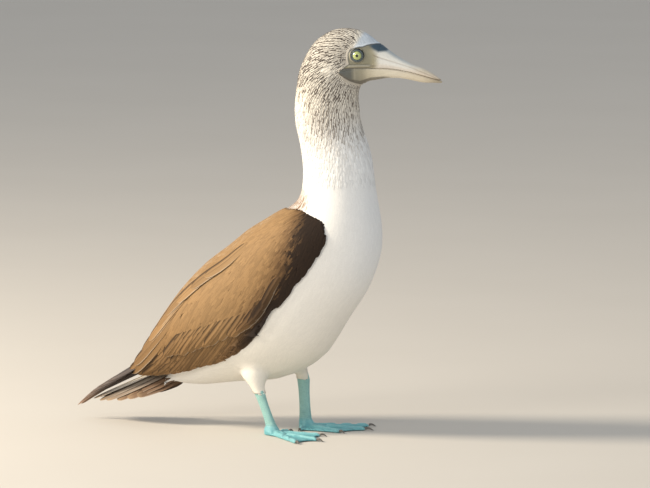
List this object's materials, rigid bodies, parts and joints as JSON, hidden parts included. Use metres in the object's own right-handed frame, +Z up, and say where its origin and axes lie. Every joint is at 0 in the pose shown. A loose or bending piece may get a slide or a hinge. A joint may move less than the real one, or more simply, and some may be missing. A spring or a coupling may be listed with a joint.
{
  "type": "blue footed booby",
  "caption": "Standing blue footed booby with streaked head, pale dagger bill, brown folded wings and webbed blue feet.",
  "frame": {"origin": "on the floor, below the middle of the bird's bounding box", "axes": "+X is the way the bird faces, +Y is its left side, +Z is up"},
  "size_m": [0.5143, 0.1855, 0.5382],
  "materials": {
    "white_plumage": "soft matte feathers",
    "streaked_plumage": "soft matte feathers",
    "brown_plumage": "satin feather vanes",
    "tail_plumage": "satin feather vanes",
    "blue_skin": "soft satin skin",
    "bill_horn": "satin horn",
    "iris": "wet and glossy",
    "claw_horn": "satin horn"
  },
  "bodies": {
    "root": {"torso": "white_plumage", "neck": "streaked_plumage", "head": "streaked_plumage", "bill_upper": "bill_horn", "bill_lower": "bill_horn", "tail": "tail_plumage", "eye_right": "iris", "wing_right": "brown_plumage", "thigh_right": "white_plumage", "tarsus_right": "blue_skin", "foot_right": "blue_skin", "claw_right_outer": "claw_horn", "claw_right_middle": "claw_horn", "claw_right_inner": "claw_horn", "claw_right_hind": "claw_horn", "eye_left": "iris", "wing_left": "brown_plumage", "thigh_left": "white_plumage", "tarsus_left": "blue_skin", "foot_left": "blue_skin", "claw_left_outer": "claw_horn", "claw_left_middle": "claw_horn", "claw_left_inner": "claw_horn", "claw_left_hind": "claw_horn"}
  },
  "joints": []
}
